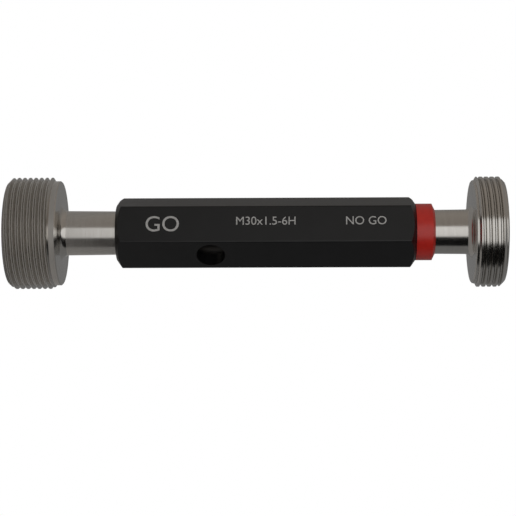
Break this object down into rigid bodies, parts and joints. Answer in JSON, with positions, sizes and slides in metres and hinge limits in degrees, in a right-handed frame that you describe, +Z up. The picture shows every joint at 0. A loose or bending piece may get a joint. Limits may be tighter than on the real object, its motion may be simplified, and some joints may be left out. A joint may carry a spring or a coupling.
{
  "type": "thread plug gauge",
  "caption": "Double-ended thread plug gauge: a longer GO disc and a shorter NO-GO disc on taper shanks, a black hexagon handle with a drift hole and a red ring.",
  "frame": {"origin": "centre of the GO end face, on which the gauge stands", "axes": "+Z up the gauge's axis from the GO end to the NO-GO end, -Y out of the marked flat of the handle"},
  "size_m": [0.03, 0.03, 0.1325],
  "materials": {
    "gauge_steel": "hardened and ground",
    "black_anodised": "black anodised",
    "red_plastic": "moulded"
  },
  "bodies": {
    "root": {"go_member": "gauge_steel", "handle": "black_anodised", "nogo_ring": "red_plastic", "nogo_member": "gauge_steel"}
  },
  "joints": []
}
